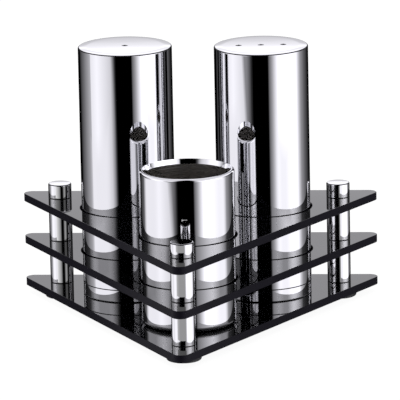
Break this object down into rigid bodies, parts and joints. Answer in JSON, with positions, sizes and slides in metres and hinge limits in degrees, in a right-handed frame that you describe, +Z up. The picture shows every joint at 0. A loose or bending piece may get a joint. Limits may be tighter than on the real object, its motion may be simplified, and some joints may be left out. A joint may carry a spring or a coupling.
{
  "type": "salt shaker set with stand",
  "caption": "Round polished steel salt and pepper shakers and an open toothpick cup, held in a triangular stand of stacked black plates on chromed posts.",
  "frame": {"origin": "on the table under the middle of the whole set's box", "axes": "+X to the right along the back edge of the plates, +Y to the back edge, so one corner points to the front at -Y, +Z up"},
  "size_m": [0.1448, 0.1264, 0.1087],
  "materials": {
    "black_acrylic": "cast acrylic sheet, glossy faces, satin cut edges",
    "polished_steel": "stainless steel, mirror polished outside, brushed inside",
    "chrome_plate": "bright chromium plate",
    "plain_steel": "turned, zinc plated",
    "black_rubber": "moulded, matt",
    "silicone": "moulded, clear to milky"
  },
  "bodies": {
    "stand": {"base_plate": "black_acrylic", "middle_plate": "black_acrylic", "top_plate": "black_acrylic", "foot_front": "black_rubber", "lower_spacer_front": "chrome_plate", "upper_spacer_front": "chrome_plate", "post_cap_front": "chrome_plate", "tie_screw_front": "plain_steel", "foot_left": "black_rubber", "lower_spacer_left": "chrome_plate", "upper_spacer_left": "chrome_plate", "post_cap_left": "chrome_plate", "tie_screw_left": "plain_steel", "foot_right": "black_rubber", "lower_spacer_right": "chrome_plate", "upper_spacer_right": "chrome_plate", "post_cap_right": "chrome_plate", "tie_screw_right": "plain_steel"},
    "salt_plug": {"salt_base": "polished_steel", "salt_seal": "silicone"},
    "salt_sleeve": {"salt_body": "polished_steel"},
    "pepper_plug": {"pepper_base": "polished_steel", "pepper_seal": "silicone"},
    "pepper_sleeve": {"pepper_body": "polished_steel"},
    "toothpick_cup": {"cup": "polished_steel"}
  },
  "joints": [
    {"name": "salt_lift", "type": "slide", "parent": "stand", "child": "salt_plug", "axis": [0, 0, 1], "range_m": [0, 0.06]},
    {"name": "salt_unplug", "type": "slide", "parent": "salt_plug", "child": "salt_sleeve", "axis": [0, 0, 1], "range_m": [0, 0.01]},
    {"name": "pepper_lift", "type": "slide", "parent": "stand", "child": "pepper_plug", "axis": [0, 0, 1], "range_m": [0, 0.06]},
    {"name": "pepper_unplug", "type": "slide", "parent": "pepper_plug", "child": "pepper_sleeve", "axis": [0, 0, 1], "range_m": [0, 0.01]},
    {"name": "cup_lift", "type": "slide", "parent": "stand", "child": "toothpick_cup", "axis": [0, 0, 1], "range_m": [0, 0.06]}
  ]
}
